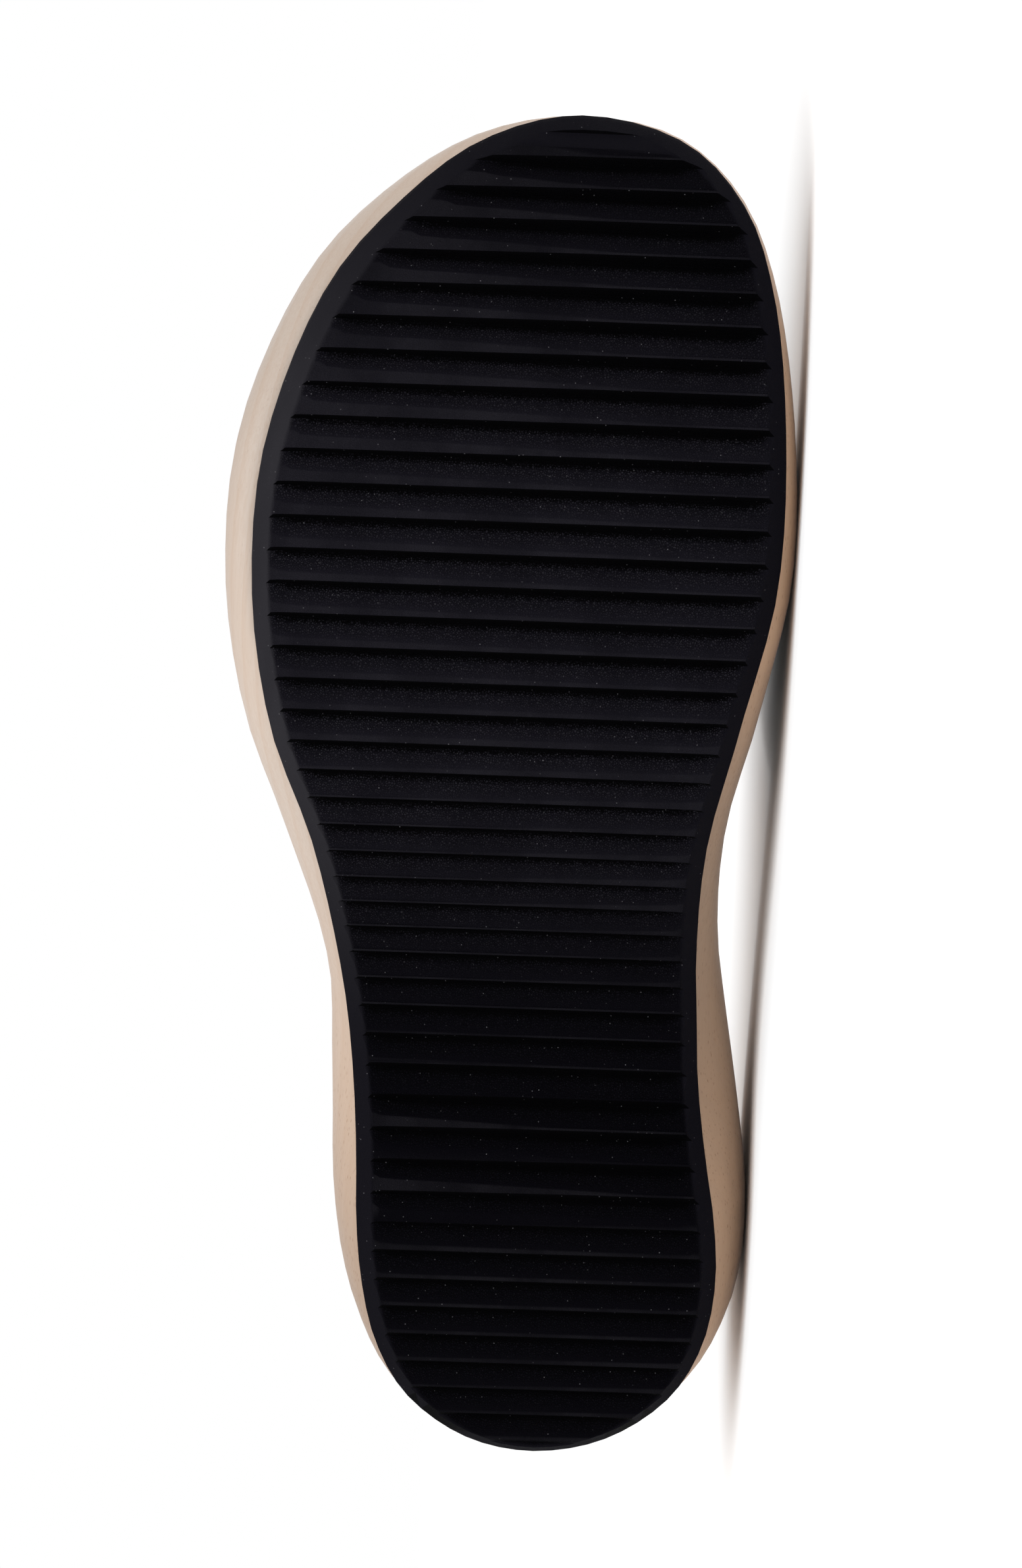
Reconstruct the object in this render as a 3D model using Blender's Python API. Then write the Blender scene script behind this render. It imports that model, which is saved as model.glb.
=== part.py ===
"""Right platform sandal: ribbed rubber outsole, carved beech platform and a broad leather band.

Modelled standing (x to the outer side, y to the toe, z up, in mm from the back of the outsole), then laid on
its inner side so that the sole faces the front.
"""
import math

import bmesh
import bpy
import numpy as np
from mathutils import Matrix, Vector

for old in list(bpy.data.objects):
    bpy.data.objects.remove(old)

# A row for each section across the sole, heel to toe. The sole columns are the outline of the rubber, the side
# columns are the widest line of the wood, and the heights are of the ground line, that widest line, the rim
# and the middle of the footbed.
COLUMNS = ("station", "ground", "sole_outer", "sole_inner", "side_outer", "side_inner", "side_z", "rim_z", "bed_z")
SECTIONS = (
    (0.0, 2.2, 0.0, 0.0, 0.0, 0.0, 20.0, 50.0, 48.0),
    (3.0, 1.9, 12.6, -13.2, 19.6, -20.6, 20.0, 50.0, 47.0),
    (12.5, 1.0, 24.1, -24.8, 28.4, -30.2, 20.0, 50.0, 43.0),
    (25.0, 0.0, 30.4, -30.7, 34.2, -36.3, 20.0, 50.0, 41.0),
    (37.5, 0.0, 33.2, -32.5, 37.4, -38.7, 20.5, 49.5, 40.5),
    (50.0, 0.4, 34.4, -31.8, 38.9, -38.7, 22.0, 49.0, 40.5),
    (62.5, 5.1, 34.7, -29.7, 39.2, -37.1, 25.0, 48.0, 40.5),
    (75.0, 10.8, 35.5, -28.1, 39.6, -35.1, 28.0, 46.5, 40.0),
    (87.5, 12.0, 36.8, -27.4, 40.0, -33.0, 29.0, 44.5, 38.5),
    (100.0, 10.5, 38.7, -26.6, 42.2, -31.3, 27.0, 42.0, 36.0),
    (125.0, 4.1, 43.7, -26.9, 49.4, -31.2, 20.0, 36.5, 31.0),
    (150.0, 0.0, 51.6, -31.3, 56.9, -35.8, 15.0, 32.5, 27.5),
    (175.0, 2.2, 55.0, -36.7, 59.9, -40.1, 14.5, 31.5, 26.5),
    (200.0, 6.5, 53.0, -37.3, 57.5, -39.5, 18.0, 33.0, 29.5),
    (225.0, 16.4, 42.7, -34.6, 45.9, -35.3, 27.5, 38.0, 34.0),
    (238.0, 24.0, 30.5, -29.6, 32.8, -29.4, 34.0, 42.0, 39.0),
    (247.0, 31.2, 16.6, -19.6, 17.0, -18.4, 39.5, 45.0, 43.0),
    (250.9, 34.6, -1.0, -1.0, -1.0, -1.0, 43.0, 47.0, 45.0),
)
ROWS = {name: np.array([row[i] for row in SECTIONS]) for i, name in enumerate(COLUMNS)}
SIDE_TIPS = (-4.0, 250.0)
RING_STATIONS = 57
CURVE_STEPS = 24

# Outsole: a sheet with a bevel all round, which narrows to the toe, and grooves with a long slope to the toe
# and a steep wall to the heel
SOLE_THICK = 4.8
EDGE_WALL = 1.6
BEVEL_DEG = 45.0
TOE_BEVEL_FROM = 225.0
TOE_BEVEL = 1.2
RIB_PITCH = 5.86
RIB_FIRST = 3.65
RIB_SKEW_DEG = 1.0
RIB_DEPTH = 1.6
RIB_WALL = 1.0
RIB_LAND = 0.5
RIB_FLOOR = 0.3
SLOPE_COLUMNS = ("run_share", "depth_share")
SLOPE_POINTS = ((0.0, 0.0), (0.3, 0.13), (0.65, 0.47), (1.0, 1.0))
SLOPE = {name: [row[i] for row in SLOPE_POINTS] for i, name in enumerate(SLOPE_COLUMNS)}
FADE_COLUMNS = ("from_edge", "depth_share")
FADE_POINTS = ((0.0, 0.5), (1.3, 0.82), (4.0, 1.0))
FADE = {name: [row[i] for row in FADE_POINTS] for i, name in enumerate(FADE_COLUMNS)}
WALL_SHARE, WALL_DROP = 0.82, 0.25
WALL_OVERLAP = 0.1
CUTTER_CLEAR = 2.5
CUTTER_SIDES = (-60.0, 80.0)
CUTTER_SAMPLES = 1401
STOP_APART = 0.3
TREAD_OVERRUN = 12.0
TREAD_POINTS = 2800
HEEL_RISE, TOE_RISE = 0.09, 0.85

# Platform: a side that swells from the outsole, a rim that rounds over and a footbed dished to a spine
GLUE_GAP = 0.3
RIM_INSET = 3.2
SPINE = (34.0, 212.0)
SWELL_FROM_DEG = 35.0
SWELL_RINGS = 5
RIM_RINGS_DEG = (24, 46, 64, 78, 88)
BED_RINGS = (0.955, 0.9, 0.8, 0.64, 0.42, 0.18)
BED_DISH = 4.2

# Band: an arch over the foot from rim to rim, its ends turned down into a rabbet on each side of the wood.
# Stations are of its front and back edges; across it, u runs from -1 at the inner end to 1 at the outer end.
BAND_WALL = 2.8
BAND_GAP = 0.3
BAND_ENDS_AT = (193.0, 133.0)
BAND_TOP_AT = (188.0, 118.0)
BAND_BULGE_INNER = 0.6
BAND_BULGE_OUTER = -0.9
BAND_TUCK = 1.0
BAND_PROUD = -0.2
BAND_ROLL = 0.72
BAND_END = 3.0
BAND_LAP = 13.0
BAND_LENGTHS = 12
BAND_ARCH_STEPS = 32
BAND_END_STEPS = 4
RABBET_FROM = 0.52
RABBET_CLEAR = 6.0
BAND_COLUMNS = ("station", "top_z", "ridge_x")
BAND_SECTIONS = (
    (105.0, 106.0, 3.0),
    (130.0, 94.0, 4.0),
    (150.0, 82.5, 5.5),
    (170.0, 72.5, 7.0),
    (195.0, 64.0, 9.0),
)
BAND = {name: np.array([row[i] for row in BAND_SECTIONS]) for i, name in enumerate(BAND_COLUMNS)}

# Lying on the inner side
YAW_DEG = -0.65
LEAN_DEG = 1.37


def smooth(xs, ys, x):
    """Smooth curve through a column of the table, with no overshoot between rows."""
    h = np.diff(xs)
    d = np.diff(ys) / h
    m = np.zeros(len(xs))
    m[0], m[-1] = d[0], d[-1]
    for i in range(1, len(xs) - 1):
        if d[i - 1] * d[i] > 0:
            w1, w2 = 2 * h[i] + h[i - 1], h[i] + 2 * h[i - 1]
            m[i] = (w1 + w2) / (w1 / d[i - 1] + w2 / d[i])
    x = np.clip(x, xs[0], xs[-1])
    i = np.clip(np.searchsorted(xs, x) - 1, 0, len(xs) - 2)
    t = (x - xs[i]) / h[i]
    return ((1 + 2 * t) * (1 - t) ** 2 * ys[i] + t * (1 - t) ** 2 * h[i] * m[i]
            + t * t * (3 - 2 * t) * ys[i + 1] + t * t * (t - 1) * h[i] * m[i + 1])


def height(column, station):
    return smooth(ROWS["station"], ROWS[column], station)


def outline(prefix, tips=None):
    """Closed smooth outline through both side columns: outer side heel to toe, then inner side back."""
    st = ROWS["station"].copy()
    if tips:
        st[0], st[-1] = tips
    outer = np.stack([ROWS[prefix + "_outer"], st], 1)
    inner = np.stack([ROWS[prefix + "_inner"], st], 1)
    loop = np.concatenate([outer, inner[-2:0:-1]])
    n = len(loop)
    curve = []
    for i in range(n):
        p0, p1, p2, p3 = loop[i - 1], loop[i], loop[(i + 1) % n], loop[(i + 2) % n]
        k0, k1, k2 = (np.linalg.norm(b - a) ** 0.5 for a, b in ((p0, p1), (p1, p2), (p2, p3)))
        m1 = (p1 - p0) / k0 - (p2 - p0) / (k0 + k1) + (p2 - p1) / k1
        m2 = (p2 - p1) / k1 - (p3 - p1) / (k1 + k2) + (p3 - p2) / k2
        for t in np.linspace(0, 1, CURVE_STEPS, endpoint=False):
            curve.append((1 + 2 * t) * (1 - t) ** 2 * p1 + t * (1 - t) ** 2 * k1 * m1
                         + t * t * (3 - 2 * t) * p2 + t * t * (t - 1) * k1 * m2)
    return np.array(curve)


def inset(curve, distance):
    """The outline moved inward along its own normals."""
    along = np.roll(curve, -1, 0) - np.roll(curve, 1, 0)
    normal = np.stack([along[:, 1], -along[:, 0]], 1)
    normal /= np.linalg.norm(normal, axis=1)[:, None]
    side = np.sign(np.sum((curve - curve.mean(0)) * normal))
    return curve - side * distance * normal


def sides_of(curve):
    """The outer and the inner half of an outline, each from heel to toe."""
    heel, toe = int(np.argmin(curve[:, 1])), int(np.argmax(curve[:, 1]))
    outer = np.roll(curve, -heel, 0)[: (toe - heel) % len(curve) + 1]
    inner = np.roll(curve, -toe, 0)[: (heel - toe) % len(curve) + 1][::-1]
    return outer, inner


def ring(curve):
    """Points of an outline at matching stations: heel tip, outer side, toe tip, inner side."""
    outer, inner = sides_of(curve)
    share = (1 - np.cos(np.linspace(0, math.pi, RING_STATIONS))) / 2
    st = outer[0, 1] + share * (outer[-1, 1] - outer[0, 1])
    x_out = np.interp(st, outer[:, 1], outer[:, 0])
    x_in = np.interp(st, inner[:, 1], inner[:, 0])
    return np.concatenate([np.stack([x_out, st], 1), np.stack([x_in, st], 1)[-2:0:-1]])


def with_height(flat, z):
    return np.column_stack([flat, np.broadcast_to(z, len(flat))])


def lofted(rings):
    """Closed solid through matching rings, its two ends closed by strips from side to side."""
    n = len(rings[0])
    half = n // 2
    verts = np.concatenate(rings)
    faces = []
    for k in range(len(rings) - 1):
        for i in range(n):
            j = (i + 1) % n
            faces.append((k * n + i, k * n + j, (k + 1) * n + j, (k + 1) * n + i))
    for start in (0, (len(rings) - 1) * n):
        for i in range(half):
            quad = [start + i, start + i + 1, start + (n - i - 1) % n, start + (n - i) % n]
            faces.append(tuple(dict.fromkeys(quad)))
    return verts, faces


def tread_edge():
    """Outline of the tread, inside the bevel."""
    edge = outline("sole")
    bevel = (SOLE_THICK - EDGE_WALL) / math.tan(math.radians(BEVEL_DEG))
    wide = np.interp(edge[:, 1], (TOE_BEVEL_FROM, edge[:, 1].max()), (bevel, TOE_BEVEL))
    return inset(edge, wide[:, None])


def outsole_blank():
    """Rubber sheet before its grooves: tread plane, bevel, upright edge and glued face."""
    tread, rim = ring(tread_edge()), ring(outline("sole"))
    ground = height("ground", rim[:, 1])
    return lofted([
        with_height(tread, height("ground", tread[:, 1])),
        with_height(rim, ground + SOLE_THICK - EDGE_WALL),
        with_height(rim, ground + SOLE_THICK),
    ])


def groove_stops(edge, station):
    """Places across a groove, with its share of the full depth at each: it fades to the edge of the tread."""
    x = np.linspace(*CUTTER_SIDES, CUTTER_SAMPLES)
    y = station + x * math.tan(math.radians(RIB_SKEW_DEG))
    outer, inner = sides_of(edge)
    inside = (x < np.interp(y, outer[:, 1], outer[:, 0])) & (x > np.interp(y, inner[:, 1], inner[:, 0]))
    stops = [(end, FADE["depth_share"][0]) for end in CUTTER_SIDES]
    if inside.any():
        x, y = x[inside], y[inside]
        from_edge = np.min(np.hypot(x[:, None] - edge[:, 0], y[:, None] - edge[:, 1]), axis=1)
        middle = int(np.argmax(from_edge))
        stops.append((x[middle], np.interp(from_edge[middle], FADE["from_edge"], FADE["depth_share"])))
        for part in (np.arange(middle + 1), np.arange(len(x) - 1, middle - 1, -1)):
            rising = np.maximum.accumulate(from_edge[part])
            stops += [(np.interp(level, rising, x[part]), share)
                      for level, share in zip(FADE["from_edge"], FADE["depth_share"])
                      if level < rising[-1] and abs(np.interp(level, rising, x[part]) - x[middle]) > STOP_APART]
    return sorted(stops)


def groove_cutters():
    """One solid for each groove, square to the curved sole: long slope to the toe, steep wall to the heel."""
    last, edge = ROWS["station"][-1], tread_edge()
    y = np.linspace(-TREAD_OVERRUN, last + TREAD_OVERRUN, TREAD_POINTS)
    z = height("ground", y) + HEEL_RISE * np.maximum(-y, 0) + TOE_RISE * np.maximum(y - last, 0)
    run = np.concatenate([[0], np.cumsum(np.hypot(np.diff(y), np.diff(z)))])
    run -= np.interp(0, y, run)
    dy, dz = np.gradient(y, run), np.gradient(z, run)

    def at(s, depth):
        yy, zz = np.interp(s, run, y), np.interp(s, run, z)
        ty, tz = np.interp(s, run, dy), np.interp(s, run, dz)
        return yy - depth * tz, zz + depth * ty

    def profile(crest, foot, share):
        end, floor = foot + RIB_WALL + WALL_OVERLAP, foot - RIB_FLOOR
        slope = [at(crest + part * (floor - crest), deep * share * RIB_DEPTH)
                 for part, deep in zip(SLOPE["run_share"], SLOPE["depth_share"])]
        wall = [at(foot, share * RIB_DEPTH), at(foot + WALL_SHARE * RIB_WALL, share * WALL_DROP), at(end, 0)]
        return [at(crest, -CUTTER_CLEAR), *slope, *wall, at(end, -CUTTER_CLEAR)]

    skew = math.tan(math.radians(RIB_SKEW_DEG))
    verts, faces = [], []
    count = int((np.interp(last, y, run) - RIB_FIRST) / RIB_PITCH) + 1
    for k in range(-1, count):
        crest = RIB_FIRST + k * RIB_PITCH + RIB_WALL + RIB_LAND
        foot = RIB_FIRST + (k + 1) * RIB_PITCH
        base = len(verts)
        stops = groove_stops(edge, at(foot, 0)[0])
        for x, share in stops:
            points = profile(crest, foot, share)
            verts += [(x, py + x * skew, pz) for py, pz in points]
        n = len(points)
        rows = [base + n * i for i in range(len(stops))]
        faces.append(tuple(rows[0] + i for i in range(n)))
        faces.append(tuple(rows[-1] + i for i in reversed(range(n))))
        for a, b in zip(rows, rows[1:]):
            faces += [(a + i, b + i, b + (i + 1) % n, a + (i + 1) % n) for i in range(n)]
    return np.array(verts), faces


def platform_blank():
    """Wood before its rabbets: glued face, swelling side, rounded rim and carved footbed."""
    sole = ring(outline("sole"))
    side_curve = outline("side", SIDE_TIPS)
    side, rim = ring(side_curve), ring(inset(side_curve, RIM_INSET))
    low = height("ground", sole[:, 1]) + SOLE_THICK + GLUE_GAP
    mid, top = height("side_z", side[:, 1]), height("rim_z", rim[:, 1])
    rings = []
    first = math.radians(SWELL_FROM_DEG)
    for a in np.linspace(first, math.pi / 2, SWELL_RINGS):
        out = (math.sin(a) - math.sin(first)) / (1 - math.sin(first))
        up = (math.cos(first) - math.cos(a)) / math.cos(first)
        rings.append(with_height(sole + out * (side - sole), low + up * (mid - low)))
    for a in np.radians(RIM_RINGS_DEG):
        rings.append(with_height(side + (1 - math.cos(a)) * (rim - side), mid + math.sin(a) * (top - mid)))
    spine_y = np.clip(rim[:, 1], *SPINE)
    half = len(rim) // 2
    centre = (rim[: half + 1, 0] + np.concatenate([rim[:1], rim[:half - 1:-1]])[:, 0]) / 2
    spine = np.stack([np.interp(spine_y, rim[: half + 1, 1], centre), spine_y], 1)
    bed = height("bed_z", spine_y)
    for share in BED_RINGS:
        rings.append(with_height(spine + share * (rim - spine), bed + (top - bed) * share ** BED_DISH))
    return lofted(rings)


def band_point(u, v, side_curves):
    """Outer face of the band: u from -1 (inner end) to 1 (outer end), v from front edge to back edge."""
    arch = 1 - min(abs(u), 1) ** 2
    front = BAND_ENDS_AT[0] + (BAND_TOP_AT[0] - BAND_ENDS_AT[0]) * arch
    back = BAND_ENDS_AT[1] + (BAND_TOP_AT[1] - BAND_ENDS_AT[1]) * arch
    st = front + v * (back - front)
    outer = u > 0
    edge_y, edge_x = side_curves[outer]
    sign = 1 if outer else -1
    edge = np.interp(st, edge_y, edge_x)
    low, rim = height("side_z", np.array([st]))[0] + BAND_END, height("rim_z", np.array([st]))[0]
    top = smooth(BAND["station"], BAND["top_z"], np.array([st]))[0]
    ridge = smooth(BAND["station"], BAND["ridge_x"], np.array([st]))[0]
    end, shoulder = edge + sign * BAND_PROUD, edge - sign * BAND_TUCK
    if abs(u) > BAND_ROLL:
        w = (abs(u) - BAND_ROLL) / (1 - BAND_ROLL)
        return shoulder + w * (end - shoulder), st, rim + w * (low - rim)
    bulge = BAND_BULGE_OUTER if outer else BAND_BULGE_INNER
    wide = abs(edge + sign * bulge - ridge)
    start = -math.acos(1 - (bulge + BAND_TUCK) / wide)
    tall = (top - rim) / (1 - math.sin(start))
    angle = start + (1 - abs(u) / BAND_ROLL) * (math.pi / 2 - start)
    return ridge + sign * wide * math.cos(angle), st, rim + tall * (math.sin(angle) - math.sin(start))


def band_sheet(us, vs, inside, outside):
    """Closed shell of the band between two distances from its outer face."""
    outer, inner = sides_of(outline("side", SIDE_TIPS))
    curves = {True: (outer[:, 1], outer[:, 0]), False: (inner[:, 1], inner[:, 0])}
    grid = np.array([[band_point(u, v, curves) for v in vs] for u in us])
    across, along = np.gradient(grid, axis=0), np.gradient(grid, axis=1)
    normal = np.cross(across, along)
    normal /= np.linalg.norm(normal, axis=2)[:, :, None]
    over_foot = us[0] * us[-1] < 0
    outward = np.sum(normal[len(us) // 2, :, 2]) if over_foot else np.sum(normal[:, :, 0]) * us[0]
    if outward < 0:
        normal = -normal
    nu, nv = len(us), len(vs)
    verts = np.concatenate([(grid + outside * normal).reshape(-1, 3), (grid - inside * normal).reshape(-1, 3)])
    faces, back = [], nu * nv
    for i in range(nu - 1):
        for j in range(nv - 1):
            a, b, c, d = i * nv + j, i * nv + j + 1, (i + 1) * nv + j + 1, (i + 1) * nv + j
            faces.append((a, b, c, d))
            faces.append((back + a, back + d, back + c, back + b))
    rims = [(i * nv + j, (i + 1) * nv + j) for i in range(nu - 1) for j in (0, nv - 1)]
    rims += [(i * nv + j, i * nv + j + 1) for j in range(nv - 1) for i in (0, nu - 1)]
    faces += [(a, b, back + b, back + a) for a, b in rims]
    return verts, faces


def rabbet_cutters():
    """What the wood loses on each side under the ends of the band."""
    v_gap = BAND_GAP / (BAND_ENDS_AT[0] - BAND_ENDS_AT[1])
    u_gap = BAND_GAP * (1 - BAND_ROLL) / BAND_LAP
    vs = np.linspace(-v_gap, 1 + v_gap, BAND_LENGTHS + 1)
    us = np.concatenate([np.linspace(RABBET_FROM, BAND_ROLL, BAND_END_STEPS),
                         np.linspace(BAND_ROLL, 1 + u_gap, BAND_END_STEPS + 2)[1:]])
    verts, faces = [], []
    for sign in (-1, 1):
        v, f = band_sheet(sign * us, vs, BAND_WALL + BAND_GAP, RABBET_CLEAR)
        faces += [tuple(i + sum(len(x) for x in verts) for i in face) for face in f]
        verts.append(v)
    return np.concatenate(verts), faces


def material(name, colour, rough):
    mat = bpy.data.materials.new(name)
    mat.use_nodes = True
    shader = mat.node_tree.nodes["Principled BSDF"]
    shader.inputs["Base Color"].default_value = (*colour, 1)
    shader.inputs["Roughness"].default_value = rough
    return mat


def solid(name, shape, place, mat=None):
    """Mesh object in metres, laid in place."""
    verts, faces = shape
    mesh = bpy.data.meshes.new(name)
    mesh.from_pydata([(place @ Vector(v)) * 0.001 for v in verts], [], faces)
    work = bmesh.new()
    work.from_mesh(mesh)
    bmesh.ops.recalc_face_normals(work, faces=work.faces)
    work.to_mesh(mesh)
    work.free()
    obj = bpy.data.objects.new(name, mesh)
    bpy.context.scene.collection.objects.link(obj)
    if mat:
        mesh.materials.append(mat)
    return obj


def cut(obj, cutter):
    cutter.hide_render = True
    cutter.display_type = "WIRE"
    mod = obj.modifiers.new("cut", "BOOLEAN")
    mod.operation = "DIFFERENCE"
    mod.solver = "EXACT"
    mod.object = cutter


turned_down = np.linspace(BAND_ROLL, 1, BAND_END_STEPS + 1)
over_arch = np.linspace(-BAND_ROLL, BAND_ROLL, BAND_ARCH_STEPS + 1)[1:-1]
across = np.concatenate([-turned_down[::-1], over_arch, turned_down])
band = band_sheet(across, np.linspace(0, 1, BAND_LENGTHS + 1), BAND_WALL, 0.0)
wood, rubber = platform_blank(), outsole_blank()

lay = Matrix(((0, 1, 0), (0, 0, 1), (1, 0, 0))).to_4x4()
turn = lay @ Matrix.Rotation(math.radians(LEAN_DEG), 4, "Y") @ Matrix.Rotation(math.radians(YAW_DEG), 4, "Z")
cloud = np.array([turn @ Vector(v) for v in np.concatenate([band[0], wood[0], rubber[0]])])
low, high = cloud.min(0), cloud.max(0)
place = Matrix.Translation((-(low[0] + high[0]) / 2, -(low[1] + high[1]) / 2, -low[2])) @ turn

outsole = solid("outsole", rubber, place, material("rubber", (0.02, 0.02, 0.023), 0.6))
platform = solid("platform", wood, place, material("beech", (0.72, 0.5, 0.33), 0.55))
upper = solid("upper", band, place, material("leather", (0.03, 0.026, 0.024), 0.5))
cut(outsole, solid("groove_cutters", groove_cutters(), place))
cut(platform, solid("rabbet_cutters", rabbet_cutters(), place))
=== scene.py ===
"""Looks of a right platform sandal lying on its inner side: beech platform, rubber outsole, leather band."""
import math

import bmesh
import bpy
import numpy as np
from mathutils import Matrix, Vector
from mathutils.bvhtree import BVHTree
from mathutils.kdtree import KDTree


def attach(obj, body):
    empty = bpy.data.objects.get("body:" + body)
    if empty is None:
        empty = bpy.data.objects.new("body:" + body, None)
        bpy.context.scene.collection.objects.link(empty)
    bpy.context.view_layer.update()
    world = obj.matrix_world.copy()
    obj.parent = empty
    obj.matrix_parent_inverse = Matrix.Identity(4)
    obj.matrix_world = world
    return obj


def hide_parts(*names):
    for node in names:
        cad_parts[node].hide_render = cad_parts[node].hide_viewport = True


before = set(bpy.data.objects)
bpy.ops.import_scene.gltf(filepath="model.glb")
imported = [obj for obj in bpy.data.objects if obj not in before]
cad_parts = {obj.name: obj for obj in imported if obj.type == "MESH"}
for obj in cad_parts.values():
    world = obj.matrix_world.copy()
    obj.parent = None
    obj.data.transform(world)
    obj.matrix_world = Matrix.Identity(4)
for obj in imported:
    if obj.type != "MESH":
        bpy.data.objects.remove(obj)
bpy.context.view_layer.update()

# Platform: one block of beech, carved to the foot above, rounded at the rim and swelling out at the sides.
# The grain runs from heel to toe, with the short dark rays of beech. It is sanded, oiled and nearly matt.

JOIN_WITHIN = 1e-6


def joined_copy(node, name):
    """A new piece with the node's own surface, its loose triangles joined into one skin."""
    bpy.ops.object.select_all(action="DESELECT")
    piece = bpy.data.objects.new(name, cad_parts[node].data.copy())
    bpy.context.collection.objects.link(piece)
    piece.data.name = name
    piece.data.materials.clear()
    piece.select_set(True)
    bpy.context.view_layer.objects.active = piece
    bpy.ops.object.mode_set(mode="EDIT")
    bpy.ops.mesh.select_all(action="SELECT")
    bpy.ops.mesh.remove_doubles(threshold=JOIN_WITHIN)
    bpy.ops.mesh.customdata_custom_splitnormals_clear()
    bpy.ops.object.mode_set(mode="OBJECT")
    return piece


def new_material(name):
    """A material, its node tree and its shader."""
    mat = bpy.data.materials.new(name)
    mat.use_nodes = True
    tree = mat.node_tree
    return mat, tree, tree.nodes["Principled BSDF"]


def feed(tree, socket, value):
    """Links a socket into another, or sets a plain value on it."""
    if isinstance(value, bpy.types.NodeSocket):
        tree.links.new(value, socket)
    else:
        socket.default_value = value


def add(tree, kind, inputs=None, **settings):
    """Adds a node, sets it up and feeds its named inputs."""
    node = tree.nodes.new(kind)
    for key, value in settings.items():
        setattr(node, key, value)
    for key, value in (inputs or {}).items():
        feed(tree, node.inputs[key], value)
    return node


def place_of(tree):
    """Where a point is on the piece, in metres."""
    return add(tree, "ShaderNodeTexCoord").outputs["Object"]


def sums(tree, operation, first, second=0.0):
    """One step of arithmetic on values."""
    node = tree.nodes.new("ShaderNodeMath")
    node.operation = operation
    feed(tree, node.inputs[0], first)
    feed(tree, node.inputs[1], second)
    return node.outputs[0]


def ramp(tree, value, low, high, to_low=0.0, to_high=1.0):
    """A value eased from one range into another."""
    limits = {"Value": value, "From Min": low, "From Max": high, "To Min": to_low, "To Max": to_high}
    return add(tree, "ShaderNodeMapRange", limits, interpolation_type="SMOOTHSTEP").outputs["Result"]


def mixed(tree, factor, first, second):
    """A colour between two others."""
    node = tree.nodes.new("ShaderNodeMix")
    node.data_type = "RGBA"
    for index, value in ((0, factor), (6, first), (7, second)):
        feed(tree, node.inputs[index], value)
    return node.outputs[2]


def finish_with(tree, shader, colour, roughness, height, strength, distance):
    """Feeds a material's colour, roughness and relief into its shader."""
    tree.links.new(colour, shader.inputs["Base Color"])
    tree.links.new(roughness, shader.inputs["Roughness"])
    bump = add(tree, "ShaderNodeBump", {"Height": height, "Strength": strength, "Distance": distance})
    tree.links.new(bump.outputs["Normal"], shader.inputs["Normal"])


def new_group(name, inputs, outputs):
    """A shader node group with named sockets: its tree, what comes in and what goes out."""
    group = bpy.data.node_groups.new(name, "ShaderNodeTree")
    for label, kind in inputs:
        group.interface.new_socket(label, in_out="INPUT", socket_type=kind)
    for label, kind in outputs:
        group.interface.new_socket(label, in_out="OUTPUT", socket_type=kind)
    return group, group.nodes.new("NodeGroupInput").outputs, group.nodes.new("NodeGroupOutput").inputs


def placed(tree, group, **inputs):
    """A node group in a material, with its values."""
    node = tree.nodes.new("ShaderNodeGroup")
    node.node_tree = group
    for key, value in inputs.items():
        feed(tree, node.inputs[key], value)
    return node.outputs


def in_cells(tree, point, cell):
    """A place measured in cells of a given size."""
    return add(tree, "ShaderNodeVectorMath", {0: point, 1: cell}, operation="DIVIDE").outputs["Vector"]


# Small marks scattered in cells, each a soft-edged blob as long and as thin as its cell
BLOB_CORE = 0.35
marks, given, result = new_group(
    "scattered_marks",
    [("Point", "NodeSocketVector"), ("Cell", "NodeSocketVector"), ("Radius", "NodeSocketFloat"),
     ("Share", "NodeSocketFloat")],
    [("Mask", "NodeSocketFloat"), ("Tone", "NodeSocketFloat")])
in_marks = in_cells(marks, given["Point"], given["Cell"])
cells = add(marks, "ShaderNodeTexVoronoi", {"Vector": in_marks, "Scale": 1.0}).outputs
drawn = add(marks, "ShaderNodeSeparateColor", {"Color": cells["Color"]}).outputs
chosen = sums(marks, "LESS_THAN", drawn["Red"], given["Share"])
core = sums(marks, "MULTIPLY", given["Radius"], BLOB_CORE)
blob = ramp(marks, cells["Distance"], given["Radius"], core)
marks.links.new(sums(marks, "MULTIPLY", blob, chosen), result["Mask"])
marks.links.new(drawn["Green"], result["Tone"])

# Soft cloudy change over a surface, from 0 to 1, in clouds of a given size
CLOUD_ROUGHNESS = 0.55
CLOUD_LOW, CLOUD_HIGH = 0.28, 0.72
clouds, given, result = new_group(
    "soft_clouds",
    [("Point", "NodeSocketVector"), ("Cell", "NodeSocketVector"), ("Detail", "NodeSocketFloat")],
    [("Value", "NodeSocketFloat")])
in_clouds = in_cells(clouds, given["Point"], given["Cell"])
noise = add(clouds, "ShaderNodeTexNoise", {
    "Vector": in_clouds, "Scale": 1.0, "Detail": given["Detail"], "Roughness": CLOUD_ROUGHNESS})
clouds.links.new(ramp(clouds, noise.outputs["Fac"], CLOUD_LOW, CLOUD_HIGH), result["Value"])

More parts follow.
